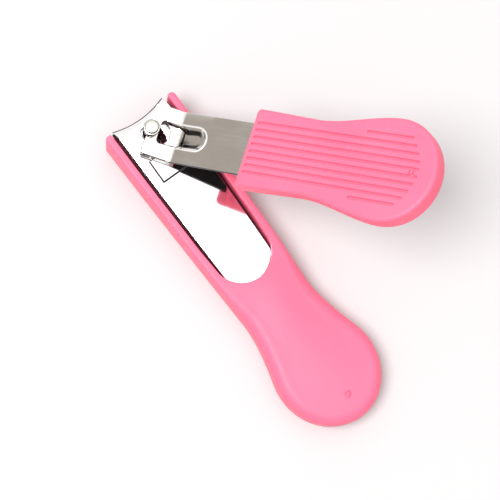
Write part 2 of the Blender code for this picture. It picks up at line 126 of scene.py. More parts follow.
# Lever grip, measured back from the pin along the lever
GRIP_FRONT = 25.2
GRIP_REAR = 71.0
GRIP_WAIST = 41.0
GRIP_BULB = 60.0
GRIP_FRONT_HALF_WIDTH = 9.15
GRIP_WAIST_HALF_WIDTH = 8.55
GRIP_BULB_HALF_WIDTH = 11.4
GRIP_BELOW = 1.4
GRIP_FRONT_THICKNESS = 4.2
GRIP_REAR_THICKNESS = 5.0
GRIP_GAP = 0.12
GROOVE_PITCH = 1.63
GROOVE_FRONT = 26.4
GROOVE_REAR = 67.1
SHORT_GROOVE_FRONT = 52.9
GRIP_GATE = 65.5


# ---------------------------------------------------------------- meshes


def closed_rings(rings, caps="flat"):
    """A bmesh through closed rings of equal length, with its ends closed.

    "flat" closes an end with one face. "pairs" closes it with a row of faces, each between two
    points of the ring and their mirror images.
    """
    bm = bmesh.new()
    loops = [[bm.verts.new(point) for point in ring] for ring in rings]
    for one, two in zip(loops, loops[1:]):
        for i in range(len(one)):
            j = (i + 1) % len(one)
            bm.faces.new((one[i], one[j], two[j], two[i]))
    for loop in (loops[0], loops[-1]):
        if caps == "flat":
            bm.faces.new(loop)
        else:
            for i in range((len(loop) - 1) // 2):
                j = len(loop) - 1 - i
                bm.faces.new(dict.fromkeys((loop[i], loop[i + 1], loop[j - 1], loop[j])))
    return bm


def prism(outline, low, high):
    return closed_rings([[(x, y, z) for x, y in outline] for z in (low, high)])


def turned(profile, steps):
    """A bmesh of a (radius, height) profile spun about Z."""
    bm = bmesh.new()
    chain = [bm.verts.new((radius, 0.0, height)) for radius, height in profile]
    edges = [bm.edges.new(pair) for pair in zip(chain, chain[1:])]
    bmesh.ops.spin(
        bm, geom=chain + edges, cent=(0, 0, 0), axis=(0, 0, 1), angle=2 * pi, steps=steps, use_merge=True
    )
    bmesh.ops.remove_doubles(bm, verts=bm.verts[:], dist=1e-4)
    return bm


def to_object(name, bm):
    bmesh.ops.recalc_face_normals(bm, faces=bm.faces[:])
    mesh = bpy.data.meshes.new(name)
    bm.to_mesh(mesh)
    bm.free()
    obj = bpy.data.objects.new(name, mesh)
    bpy.context.scene.collection.objects.link(obj)
    return obj


def bake(obj):
    """Applies the object's modifiers."""
    bpy.context.view_layer.update()
    evaluated = obj.evaluated_get(bpy.context.evaluated_depsgraph_get())
    mesh = bpy.data.meshes.new_from_object(evaluated)
    obj.modifiers.clear()
    obj.data = mesh
    return obj


def combine(obj, bm, operation):
    """Joins bm to the object or cuts it away."""
    tool = to_object("tool", bm)
    step = obj.modifiers.new("combine", "BOOLEAN")
    step.operation = operation
    step.solver = "EXACT"
    step.object = tool
    bake(obj)
    bpy.data.objects.remove(tool)


def deburr(obj, width, segments):
    """Rounds every sharp edge."""
    step = obj.modifiers.new("edges", "BEVEL")
    step.width = width
    step.segments = segments
    step.limit_method = "ANGLE"
    step.angle_limit = radians(40)
    step.use_clamp_overlap = True
    bake(obj)


def slice_at(obj, axis, places):
    """Adds an edge loop wherever the object crosses one of the places along an axis (0, 1 or 2)."""
    bm = bmesh.new()
    bm.from_mesh(obj.data)
    normal = [0.0, 0.0, 0.0]
    normal[axis] = 1.0
    for place in places:
        through = [place * n for n in normal]
        geometry = bm.verts[:] + bm.edges[:] + bm.faces[:]
        bmesh.ops.bisect_plane(bm, geom=geometry, dist=1e-5, plane_co=through, plane_no=normal)
    bm.to_mesh(obj.data)
    bm.free()


def reshape(obj, move):
    for vertex in obj.data.vertices:
        vertex.co = move(*vertex.co)


def paint(obj, choose):
    """Gives each face the number of its material, chosen by the face's middle and normal."""
    for face in obj.data.polygons:
        face.material_index = choose(face.center, face.normal, face.material_index)


def finish_piece(obj, body, replaced, looks, sharp):
    """Scales a piece to metres, shades it, gives it its materials and puts it on its body."""
    obj.data.transform(Matrix.Diagonal((MM, MM, MM, 1.0)))
    obj.data.shade_smooth()
    obj.data.set_sharp_from_angle(angle=radians(sharp))
    chosen = [face.material_index for face in obj.data.polygons]
    obj.data.materials.clear()
    for look in looks:
        obj.data.materials.append(look)
    obj.data.polygons.foreach_set("material_index", chosen)
    weighted = obj.modifiers.new("normals", "WEIGHTED_NORMAL")
    weighted.keep_sharp = True
    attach(obj, body)
    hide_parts(replaced)


# ---------------------------------------------------------------- outlines


def smoothstep(low, high, value):
    t = min(max((value - low) / (high - low), 0.0), 1.0)
    return t * t * (3 - 2 * t)


def arc(centre, radius, start, end, steps):
    turn = (end - start) / steps
    return [
        (centre[0] + radius * cos(start + i * turn), centre[1] + radius * sin(start + i * turn))
        for i in range(steps + 1)
    ]


def mirrored(side):
    """A whole outline from its right half, which ends on the middle line."""
    return side + [(-x, y) for x, y in reversed(side[:-1])]


def handle_side(front, rear, corner, half_width, bulb_at, bulb_half_width, stations):
    """The right half of a waisted handle's plan from its front corner to its rear end."""
    end_steps = 28
    side = arc((half_width(front) - corner, front - corner), corner, pi / 2, 0.0, 8)[:-1]
    front -= corner
    for i in range(stations):
        y = front + (bulb_at - front) * i / stations
        side.append((half_width(y), y))
    for i in range(end_steps + 1):
        angle = i * pi / 2 / end_steps
        side.append((bulb_half_width * cos(angle), bulb_at - (bulb_at - rear) * sin(angle)))
    return side


def around(plan, ring):
    """One ring: the function's point for each plan point and the outward normal there."""
    loop = []
    for i, (x, y) in enumerate(plan):
        before = plan[i - 1]
        after = plan[(i + 1) % len(plan)]
        along = Vector((after[0] - before[0], after[1] - before[1])).normalized()
        loop.append(ring(x, y, Vector((-along.y, along.x))))
    return loop


# ---------------------------------------------------------------- case


def case_half_width(y):
    waist = WAIST_HALF_WIDTH
    if y >= WAIST_Y:
        along = max(CASE_FRONT - y, 0.0) / (CASE_FRONT - WAIST_Y)
        return FRONT_HALF_WIDTH + (waist - FRONT_HALF_WIDTH) * along**1.5
    reach = BULB_Y - CASE_REAR
    if y <= NECK_END_Y:
        return BULB_HALF_WIDTH * sqrt(1 - ((y - BULB_Y) / reach) ** 2)
    share = sqrt(1 - ((NECK_END_Y - BULB_Y) / reach) ** 2)
    end = BULB_HALF_WIDTH * share
    slope = BULB_HALF_WIDTH * (NECK_END_Y - BULB_Y) / (reach * reach * share)
    length = WAIST_Y - NECK_END_Y
    t = (WAIST_Y - y) / length
    return waist + (3 * t * t - 2 * t**3) * (end - waist) + (t**3 - t * t) * slope * length


def case_height(y):
    along = min((CASE_FRONT - y) / (CASE_FRONT - WAIST_Y), 1.0)
    return FRONT_HEIGHT + (WAIST_HEIGHT - FRONT_HEIGHT) * along


def edge_radius(y):
    return 0.75 + 1.95 * smoothstep(-34, -50, y)


def crown(share, y):
    return CROWN * smoothstep(-34, -48, y) * (1 - share * share) ** 2


def inner_half_width(y):
    return case_half_width(max(y, OPENING_REAR)) - WALL


def case_top(x, y):
    across = abs(x) / (case_half_width(y) - edge_radius(y))
    behind = (BULB_Y - y) / (BULB_Y - CASE_REAR - edge_radius(y))
    return case_height(y) + crown(min(max(across, behind), 1.0), y)


def make_case(look):
    corner = 1.0
    stations = 90
    side = handle_side(
        CASE_FRONT, CASE_REAR, corner, case_half_width, BULB_Y, BULB_HALF_WIDTH, stations
    )
    plan = mirrored(side)
    foot = 0.5

    def at(inset, height):
        def ring(x, y, normal):
            return (x - normal.x * inset(y), y - normal.y * inset(y), height(y))

        return around(plan, ring)

    def bottom(angle):
        return at(lambda y: foot * (1 - sin(angle)), lambda y: foot * (1 - cos(angle)))

    def shoulder(angle):
        return at(
            lambda y: edge_radius(y) * (1 - cos(angle)),
            lambda y: case_height(y) - edge_radius(y) * (1 - sin(angle)),
        )

    def top(share):
        def ring(x, y, normal):
            inward = edge_radius(y)
            height = case_height(y) + crown(share, y)
            x -= normal.x * inward
            y -= normal.y * inward
            if y < BULB_Y:
                y = BULB_Y + (y - BULB_Y) * share
            return (x * share, y, height)

        return around(plan, ring)

    rings = [bottom(i * pi / 8) for i in range(5)]
    rings += [shoulder(i * pi / 20) for i in range(11)]
    rings += [top(1 - i / 16) for i in range(1, 16)]
    case = to_object("case_shell", closed_rings(rings, "pairs"))

    end_radius = inner_half_width(OPENING_REAR)
    centre = OPENING_REAR + end_radius
    flare = 0.6
    width = inner_half_width(CASE_FRONT)
    side = [(width + flare, CASE_FRONT + 4)]
    side += arc((width + flare, CASE_FRONT - flare), flare, pi / 2, pi, 6)
    side += [(inner_half_width(y), y) for y in [CASE_FRONT - 1.5 - 1.5 * i for i in range(22)]]
    side += arc((0.0, centre), end_radius, 0.0, -pi / 2, 24)
    outline = mirrored(side)
    lip = 0.3

    def cut(outward, height):
        def ring(x, y, normal):
            x += normal.x * outward
            y += normal.y * outward
            return (x, y, height(x, y))

        return around(outline, ring)

    rings = [cut(0.0, lambda x, y: FLOOR)]
    for i in range(6):
        angle = radians(16 * i)
        rings.append(cut(lip * (1 - cos(angle)), lambda x, y: case_top(x, y) - lip * (1 - sin(angle))))
    rings.append(cut(lip * (1 - cos(angle)) + 0.02, lambda x, y: 20.0))
    combine(case, closed_rings(rings), "DIFFERENCE")

    corner = POCKET_CORNER
    w = POCKET_HALF_WIDTH
    pocket = [(w, centre)]
    pocket += arc((w - corner, POCKET_REAR + corner), corner, 0.0, -pi / 2, 8)
    pocket += arc((-w + corner, POCKET_REAR + corner), corner, -pi / 2, -pi, 8)
    pocket += [(-w, centre)]
    combine(case, prism(pocket, FLOOR, ROOF_UNDERSIDE), "DIFFERENCE")
    for y in (0.0, RIVET_Y):
        circle = arc((0.0, y), UNDER_HOLE_RADIUS, 0.0, 2 * pi, 40)[:-1]
        combine(case, prism(circle, UNDER_HOLE_BOTTOM, FLOOR + 0.3), "DIFFERENCE")
    combine(case, gate_mark((0.0, CASE_GATE_Y), case_top(0.0, CASE_GATE_Y)), "DIFFERENCE")
    finish_piece(case, "case_body", "case", [look], 38)


def gate_mark(place, height):
    """A cutter for the ring left where the moulding's feed was snapped off, round a nub."""
    profile = [(0.3, 0.3), (0.27, -0.06), (0.33, -0.38), (0.6, -0.42), (0.72, -0.12), (0.8, 0.3)]
    steps = 28
    bm = bmesh.new()
    rings = []
    for i in range(steps):
        angle = 2 * pi * i / steps
        wander = 1 + 0.1 * sin(2 * angle) + 0.06 * sin(3 * angle + 1)
        rings.append(
            [
                bm.verts.new(
                    (place[0] + r * wander * cos(angle), place[1] + r * wander * sin(angle), height + z)
                )
                for r, z in profile
            ]
        )
    for i in range(steps):
        one, two = rings[i - 1], rings[i]
        for j in range(len(profile)):
            k = (j + 1) % len(profile)
            bm.faces.new((one[j], one[k], two[k], two[j]))
    return bm


# ---------------------------------------------------------------- sheet metal


class Bends:
    """A path in the (y, z) plane made of straight runs and arcs, measured by its length."""

    def __init__(self, start, heading, moves):
        self.stretches = []
        self.length = 0.0
        place = start
        for run, turn, radius in moves:
            self.stretches.append((self.length, place, heading, 0.0))
            place = (place[0] + run * cos(heading), place[1] + run * sin(heading))
            self.length += run
            if turn:
                curve = (1 if turn > 0 else -1) / radius
                self.stretches.append((self.length, place, heading, curve))
                place = self.ends(place, heading, curve, abs(turn) * radius)
                heading += turn
                self.length += abs(turn) * radius
        self.stretches.append((self.length, place, heading, 0.0))

    @staticmethod
    def ends(place, heading, curve, run):
        if not curve:
            return (place[0] + run * cos(heading), place[1] + run * sin(heading))
        turned_to = heading + curve * run
        across = (sin(turned_to) - sin(heading)) / curve
        up = (cos(heading) - cos(turned_to)) / curve
        return (place[0] + across, place[1] + up)

    def at(self, length, offset):
        """The point at a length along the path, moved to its left by offset."""
        begin, place, heading, curve = self.stretches[0]
        for stretch in self.stretches[:-1]:
            if stretch[0] <= length:
                begin, place, heading, curve = stretch
        y, z = self.ends(place, heading, curve, length - begin)
        heading += curve * (length - begin)
        return (y - offset * sin(heading), z + offset * cos(heading))

    def stations(self, spacing):
        """Lengths at which a strip needs an edge to follow the arcs."""
        places = []
        for (begin, _, _, curve), (end, _, _, _) in zip(self.stretches, self.stretches[1:]):
            places.append(begin)
            if curve:
                steps = max(int((end - begin) / spacing), 4)
                places += [begin + (end - begin) * i / steps for i in range(1, steps)]
        return places[1:]


def punch(name, outline, holes, deburring):
    """A flat plate in (width, length, thickness) with holes and rounded edges."""
    plate = to_object(name, prism(outline, 0.0, SHEET))
    for hole in holes:
        combine(plate, prism(hole, -1.0, SHEET + 1.0), "DIFFERENCE")
    deburr(plate, deburring, 3)
    return plate


def arm_half_width(y):
    front = inner_half_width(y) - ARM_SIDE_GAP
    narrowing = smoothstep(OPENING_REAR + 1, OPENING_REAR - 4, y)
    return front + (TANG_HALF_WIDTH - front) * narrowing


def make_arm(name, bends, outward, holes):
    """A sprung arm: punched flat, bent, ground to an edge and hollowed at the jaw."""
    steps = 90
    right = []
    corner = 1.6
    for i in range(steps + 1):
        length = bends.length * i / steps
        y = bends.at(length, 0.0)[0]
        inset = 0.0
        if length < corner:
            inset = corner - sqrt(corner**2 - (corner - length) ** 2)
        right.append((arm_half_width(y) - inset, length))
    outline = right + [(-x, y) for x, y in reversed(right)]
    deburring = 0.14
    arm = punch(name, outline, holes, deburring)
    spacing = 0.3
    rows = 25
    jaw_starts = bends.length - rows * spacing
    stations = bends.stations(spacing) + [jaw_starts + spacing * i for i in range(rows)]
    painted_edge_line_from = bends.length - PAINTED_EDGE_LINE_LENGTH
    slice_at(arm, 1, sorted(stations + [painted_edge_line_from]))
    slice_at(arm, 0, [i * 0.45 for i in range(-15, 16)])

    def choose(middle, normal, _):
        # The band along the jaw's edge gets the near-black edge material: painted shade that draws the edge
        # as a line.
        if middle.y > painted_edge_line_from:
            return 1
        # Sides and undersides get the dark red steel: a painted reflection of the pink case in shade.
        return 2 if normal.z < 0.6 else 0

    paint(arm, choose)

    def bend(w, length, n):
        run = bends.at(bends.length, 0.0)[0] - bends.at(length, 0.0)[0]
        ground = EDGE_THICKNESS + (SHEET - EDGE_THICKNESS) * min(max(run, 0.0) / JAW_LENGTH, 1.0)
        y, z = bends.at(length, outward * n * ground / SHEET)
        inner_y = bends.at(length, 0.0)[0]
        reach = smoothstep(JAW_CORNER_Y - HOLLOW_REACH, JAW_CORNER_Y, inner_y)
        u = min(abs(w) / arm_half_width(inner_y), 1.0)
        return (w, y - JAW_HOLLOW * (1 - u * u) * reach, z)

    reshape(arm, bend)
    return arm


def length_at(y, bends):
    """How far along the flat plate the place is that ends up at y once bent."""
    low, high = 0.0, bends.length
    for _ in range(40):
        middle = (low + high) / 2
        if bends.at(middle, 0.0)[0] < y:
            low = middle
        else:
            high = middle
    return low


def rivet_hole(bends):
    return arc((0.0, length_at(RIVET_Y, bends)), RIVET_HOLE_RADIUS, 0.0, 2 * pi, 48)[:-1]


def pin_slot(bends):
    """The slot for the lever pin, longer behind the pin, in the flat plate."""
    w = PIN_HOLE_HALF_WIDTH
    middle = length_at(0.0, bends)
    front = middle + SHANK_RADIUS + PIN_CLEARANCE - w
    rear = middle + PIN_HOLE_REAR + w
    return arc((0.0, front), w, pi, 0.0, 25) + arc((0.0, rear), w, 0.0, -pi, 25)


def make_lower_arm(looks):
    flat = JAW_CORNER_Y - JAW_LENGTH - ARM_REAR
    moves = [(flat, JAW_TURN, 2.5), (1.55, 0, 0)]
    bends = Bends((ARM_REAR, LOWER_ARM_BOTTOM + SHEET), 0.0, moves)
    arm = make_arm("lower_arm_plate", bends, -1, [pin_slot(bends), rivet_hole(bends)])
    finish_piece(arm, "lower_arm_body", "lower_arm", looks, 50)


def upper_arm_top(y):
    at_bend = LOWER_ARM_BOTTOM + 2 * SHEET + ARM_GAP + (BEND_Y - RIVET_Y) * tan(CLOSING)
    return at_bend + (y - BEND_Y) * tan(UPPER_SLOPE)


def make_upper_arm(looks):
    bottom = LOWER_ARM_BOTTOM + SHEET + ARM_GAP
    jaw_start = JAW_CORNER_Y - JAW_LENGTH
    moves = [
        (RIVET_Y - ARM_REAR - 0.5, CLOSING, 12.0),
        ((BEND_Y - RIVET_Y - 0.8) / cos(CLOSING), UPPER_SLOPE - CLOSING, 12.0),
        ((jaw_start - BEND_Y - 0.4) / cos(UPPER_SLOPE), -UPPER_SLOPE - JAW_TURN, 2.5),
        (1.75, 0, 0),
    ]
    bends = Bends((ARM_REAR, bottom), 0.0, moves)
    arm = make_arm("upper_arm_plate", bends, 1, [pin_slot(bends), rivet_hole(bends)])
    pad_outline = [
        (PAD_HALF_WIDTH, PAD_REAR),
        (PAD_HALF_WIDTH, PAD_FRONT),
        (-PAD_HALF_WIDTH, PAD_FRONT),
        (-PAD_HALF_WIDTH, PAD_REAR),
    ]
    pad = to_object("pad", prism(pad_outline, -0.6, PAD_HEIGHT))
    deburr(pad, 0.35, 4)
    reshape(pad, lambda x, y, z: (x, y, upper_arm_top(y) + z))
    bm = bmesh.new()
    bm.from_mesh(pad.data)
    bpy.data.objects.remove(pad)
    combine(arm, bm, "UNION")

    # The pad's rounded walls get the near-black edge material: painted shade that outlines the pad.
    def choose(middle, normal, chosen):
        on_pad = abs(middle.x) < PAD_HALF_WIDTH + 0.05 and PAD_REAR - 0.05 < middle.y < PAD_FRONT + 0.05
        above = middle.z > upper_arm_top(middle.y) + 0.02
        return 1 if on_pad and above and normal.z < 0.99 else chosen

    paint(arm, choose)
    finish_piece(arm, "case_body", "upper_arm", looks, 50)


# ---------------------------------------------------------------- lever and pin


def crossbar_height():
    run = FULCRUM_REACH - CROSSBAR_REACH
    return FULCRUM_HEIGHT - run * tan(FOOT_SLOPE) + SHEET / 2 / cos(FOOT_SLOPE)


def lever_frame():
    """From the lever's own frame (origin at the crossbar, +Y forward) to the CAD frame."""
    turn = Matrix.Rotation(SWING, 4, "Z")
    return turn @ Matrix.Translation((0, -CROSSBAR_REACH, crossbar_height()))


def lever_bends(grow):
    ahead = CROSSBAR_REACH - LEVER_FRONT + grow
    turn = LEVER_SLOPE - FOOT_SLOPE
    tangent = LEVER_BEND_RADIUS * tan(turn / 2)
    start = (-ahead * cos(FOOT_SLOPE), -ahead * sin(FOOT_SLOPE))
    rest = TONGUE_REAR - FULCRUM_REACH - tangent + grow
    first = ahead + FULCRUM_REACH - CROSSBAR_REACH - tangent
    return Bends(start, FOOT_SLOPE, [(first, turn, LEVER_BEND_RADIUS), (rest, 0, 0)])


def lever_half_width(length):
    narrowing = smoothstep(GRIP_FRONT + 1, GRIP_FRONT + 4, length)
    rounding = smoothstep(TONGUE_REAR - 3, TONGUE_REAR, length)
    return LEVER_HALF_WIDTH + (TONGUE_HALF_WIDTH - LEVER_HALF_WIDTH) * narrowing - 2 * rounding


def lever_outline(grow, corner):
    """Outline in (width, length from the front edge)."""
    reach = TONGUE_REAR - LEVER_FRONT + 2 * grow
    width = LEVER_HALF_WIDTH + grow
    right = arc((width - corner, corner), corner, -pi / 2, 0.0, 6)
    right += [
        (lever_half_width(LEVER_FRONT + y) + grow, y)
        for y in [corner + 1.5 + i * 0.75 for i in range(int((reach - corner - 1.5) / 0.75))]
    ]
    return right + [(-x, y) for x, y in reversed(right)]


def trough_wall(w, length):
    """Distance inside the trough's rim, and the width of the wall between the rim and the bottom."""
    centre = TROUGH_REAR - OPENING_HALF_WIDTH
    reach = hypot(w, max(length - centre, 0.0))
    narrowing = smoothstep(FULCRUM_REACH - 0.5, FULCRUM_REACH + 2.5, length)
    return OPENING_HALF_WIDTH - reach, 0.6 + 1.15 * narrowing


def trough_depth(w, length):
    """How far the strip is pressed down at a place on it; a low bead runs round the rim."""
    inside, wall = trough_wall(w, length)
    deepest = TROUGH_DEPTH * smoothstep(1.9, 3.0, length)
    deepest += (TROUGH_END_DEPTH - TROUGH_DEPTH) * smoothstep(FULCRUM_REACH, TROUGH_REAR - 2, length)
    if length > TROUGH_REAR - OPENING_HALF_WIDTH:
        wall += (0.7 - wall) * min((length - TROUGH_REAR + OPENING_HALF_WIDTH) / 2.0, 1.0)
    bead = 0.1 * max(1 - (inside + 0.05) ** 2 / 0.06, 0.0) * smoothstep(3.5, 5.0, length)
    return deepest * smoothstep(0.0, wall, inside) - bead


def shade_trough(lever):
    """Marks painted shade on the trough's walls and crease, and a painted highlight on its lip."""
    trough_painted_shade = lever.data.attributes.new("trough_painted_shade", "FLOAT", "POINT")
    lip = lever.data.attributes.new("lip", "FLOAT", "POINT")
    for i, vertex in enumerate(lever.data.vertices):
        w, length = vertex.co.x, vertex.co.y + LEVER_FRONT
        if vertex.co.z < SHEET / 2:
            continue
        inside, wall = trough_wall(w, length)
        share = inside / wall
        start = 2.2 if w > 0 else 4.8
        on_wall = smoothstep(0.25, 0.45, share) * (1 - smoothstep(0.85, 1.0, share))
        on_wall *= smoothstep(start - 0.3, start + 0.3, length)
        on_wall *= 1 - smoothstep(TROUGH_REAR - 2.2, TROUGH_REAR - 1.4, length)
        crease = smoothstep(0.85, 1.05, length - FULCRUM_REACH)
        crease *= 1 - smoothstep(1.4, 1.6, length - FULCRUM_REACH)
        trough_painted_shade.data[i].value = max(on_wall, crease * smoothstep(0.3, 0.5, inside))
        near = max(1 - abs(inside + 0.06) / 0.2, 0.0)
        lip.data[i].value = near * smoothstep(FULCRUM_REACH, FULCRUM_REACH + 1, length)


def make_lever(looks):
    bends = lever_bends(0.0)
    front = CROSSBAR_REAR - LEVER_FRONT
    w = OPENING_HALF_WIDTH
    corner = 1.0
    reach = asin(w / OPENING_RADIUS)
    centre = (0.0, OPENING_CENTRE - LEVER_FRONT)
    opening = arc((w - corner, front + corner), corner, 0.0, -pi / 2, 6)
    opening += arc((-w + corner, front + corner), corner, -pi / 2, -pi, 6)
    opening += arc(centre, OPENING_RADIUS, pi / 2 + reach, pi / 2 - reach, 31)
    w = RECESS_HALF_WIDTH
    back = CROSSBAR_REACH - 0.8 - LEVER_FRONT
    recess = [(w, -2.0), (w, back - 0.5), (w - 0.5, back), (-w + 0.5, back), (-w, back - 0.5), (-w, -2.0)]
    lever = punch("lever_plate", lever_outline(0.0, 0.7), [opening, recess], 0.25)
    fine = [CROSSBAR_REAR - LEVER_FRONT + i * 0.15 for i in range(86)]
    slice_at(lever, 1, sorted(fine + bends.stations(0.2)))
    slice_at(lever, 0, [i * 0.13 for i in range(-25, 26)])

    def choose(middle, normal, _):
        length = middle.y + LEVER_FRONT
        # Cut sides get the near-black edge material: painted shade.
        if abs(normal.z) < 0.6:
            return 1
        # The underside behind the fulcrum gets near-black matte steel: painted shade, as the underside lies
        # in shade.
        if normal.z < 0 and length > FULCRUM_REACH + 1:
            return 2
        return 0

    paint(lever, choose)
    shade_trough(lever)

    def bend(w, length, n):
        depth = trough_depth(w, length + LEVER_FRONT)
        return lever_point(bends, w, length, n - SHEET / 2 - depth)

    reshape(lever, bend)
    lever.data.transform(lever_frame())
    finish_piece(lever, "lever_body", "lever", looks, 50)


def lever_point(bends, w, length, n):
    back, height = bends.at(length, n)
    return (w, -back, height)


def make_pin(looks):
    notch = crossbar_height()
    head = notch + NOTCH_HALF_HEIGHT
    top = head + HEAD_HEIGHT
    r = HEAD_RADIUS
    f, low, high = FLANGE_RADIUS, FLANGE_BOTTOM, FLANGE_TOP
    profile = [(0, low), (f - 0.2, low), (f - 0.08, low + 0.05), (f, low + 0.15), (f, high - 0.15)]
    profile += [(f - 0.08, high - 0.04), (f - 0.2, high), (SHANK_RADIUS, high)]
    profile += [(SHANK_RADIUS, head), (r - 0.1, head + 0.04), (r, head + 0.14)]
    profile += [(r, head + 0.42), (r - 0.05, head + 0.5), (r - 0.14, head + 0.54)]
    crown_radius = r - 0.33
    profile += [(crown_radius, head + 0.56), (crown_radius - 0.04, head + 0.62)]
    rim = top - 0.3
    profile.append((crown_radius, rim - 0.1))
    quarter = [i * pi / 12 for i in range(1, 6)]
    profile += [(crown_radius - 0.35 + 0.35 * cos(a), rim + 0.2 * sin(a)) for a in quarter]
    profile += [(crown_radius * 0.6, rim + 0.255), (crown_radius * 0.3, rim + 0.29), (0, top)]
    pin = to_object("pin_turned", turned(profile, 64))
    reach = 6
    box = [(-reach, -reach), (reach, -reach), (reach, NECK_BACK), (-reach, NECK_BACK)]
    cutter = prism(box, notch - NOTCH_HALF_HEIGHT, notch + NOTCH_HALF_HEIGHT)
    cutter.transform(Matrix.Rotation(SWING, 4, "Z"))
    combine(pin, cutter, "DIFFERENCE")
    # The pin's steep walls get the near-black edge material: painted shade under the head's steps.
    paint(pin, lambda middle, normal, _: 1 if abs(normal.z) < 0.85 else 0)
    finish_piece(pin, "pin_body", "lever_pin", looks, 35)


# ---------------------------------------------------------------- grip


def grip_half_width(y):
    length = -y
    if length <= GRIP_WAIST:
        along = (length - GRIP_FRONT) / (GRIP_WAIST - GRIP_FRONT)
        return GRIP_FRONT_HALF_WIDTH + (GRIP_WAIST_HALF_WIDTH - GRIP_FRONT_HALF_WIDTH) * along
    widening = smoothstep(GRIP_WAIST, GRIP_BULB, length)
    return GRIP_WAIST_HALF_WIDTH + (GRIP_BULB_HALF_WIDTH - GRIP_WAIST_HALF_WIDTH) * widening


def grip_thickness(y):
    along = (-GRIP_FRONT - y) / (GRIP_REAR - GRIP_FRONT)
    return GRIP_FRONT_THICKNESS + (GRIP_REAR_THICKNESS - GRIP_FRONT_THICKNESS) * along


def grip_top(y):
    return grip_thickness(y) - GRIP_BELOW


def groove(x, front, rear):
    """A shallow trough along the grip's top with round ends, as a cutter."""
    rings = []
    for half, depth in ((0.5, 0.4), (0.36, 0.02), (0.3, -0.07), (0.26, -0.34), (0.18, -0.46), (0.05, -0.5)):
        outline = arc((x, -front - half), half, 0.0, pi, 6) + arc((x, -rear + half), half, pi, 2 * pi, 6)
        rings.append([(px, py, grip_top(py) + depth) for px, py in outline])
    return rings


def make_grip(look):
    corner = 1.2
    stations = 60
    side = handle_side(
        -GRIP_FRONT, -GRIP_REAR, corner, grip_half_width, -GRIP_BULB, GRIP_BULB_HALF_WIDTH, stations
    )
    plan = mirrored(side)

    def at(inset, share, add):
        def ring(x, y, normal):
            height = share * grip_thickness(y) + add - GRIP_BELOW
            return (x - normal.x * inset, y - normal.y * inset, height)

        return around(plan, ring)

    under, over = 1.3, 0.9
    angles = [i * pi / 16 for i in range(9)]
    rings = [at(under * (1 - sin(a)), 0, under * (1 - cos(a))) for a in angles]
    rings += [at(over * (1 - cos(a)), 1, -over * (1 - sin(a))) for a in angles]
    grip = to_object("grip_shell", closed_rings(rings, "pairs"))

    cutter = bmesh.new()
    for k in range(5):
        x = (k + 0.5) * GROOVE_PITCH
        front = GROOVE_FRONT if k < 4 else SHORT_GROOVE_FRONT
        for place in (x, -x):
            part = closed_rings(groove(place, front, GROOVE_REAR - 0.06 * x * x))
            mesh = bpy.data.meshes.new("part")
            part.to_mesh(mesh)
            part.free()
            cutter.from_mesh(mesh)
    combine(grip, cutter, "DIFFERENCE")
    combine(grip, gate_mark((0.0, -GRIP_GATE), grip_top(-GRIP_GATE)), "DIFFERENCE")

    run = FULCRUM_REACH - CROSSBAR_REACH
    bend = Vector((0, -run * cos(FOOT_SLOPE), run * sin(FOOT_SLOPE)))
    along_lever = Matrix.Translation(bend) @ Matrix.Rotation(-LEVER_SLOPE, 4, "X")
    to_lever = along_lever @ Matrix.Translation((0, FULCRUM_REACH, -SHEET / 2))
    grip.data.transform(to_lever)

    bends = lever_bends(GRIP_GAP)
    tongue = to_object("tongue", prism(lever_outline(GRIP_GAP, 0.7), 0.0, SHEET + 2 * GRIP_GAP))
    slice_at(tongue, 1, bends.stations(0.2))
    half = SHEET / 2 + GRIP_GAP
    reshape(tongue, lambda w, length, n: lever_point(bends, w, length, n - half))
    bm = bmesh.new()
    bm.from_mesh(tongue.data)
    bpy.data.objects.remove(tongue)
    combine(grip, bm, "DIFFERENCE")
    grip.data.transform(lever_frame())
    finish_piece(grip, "lever_body", "lever_grip", [look], 38)


# ---------------------------------------------------------------- materials


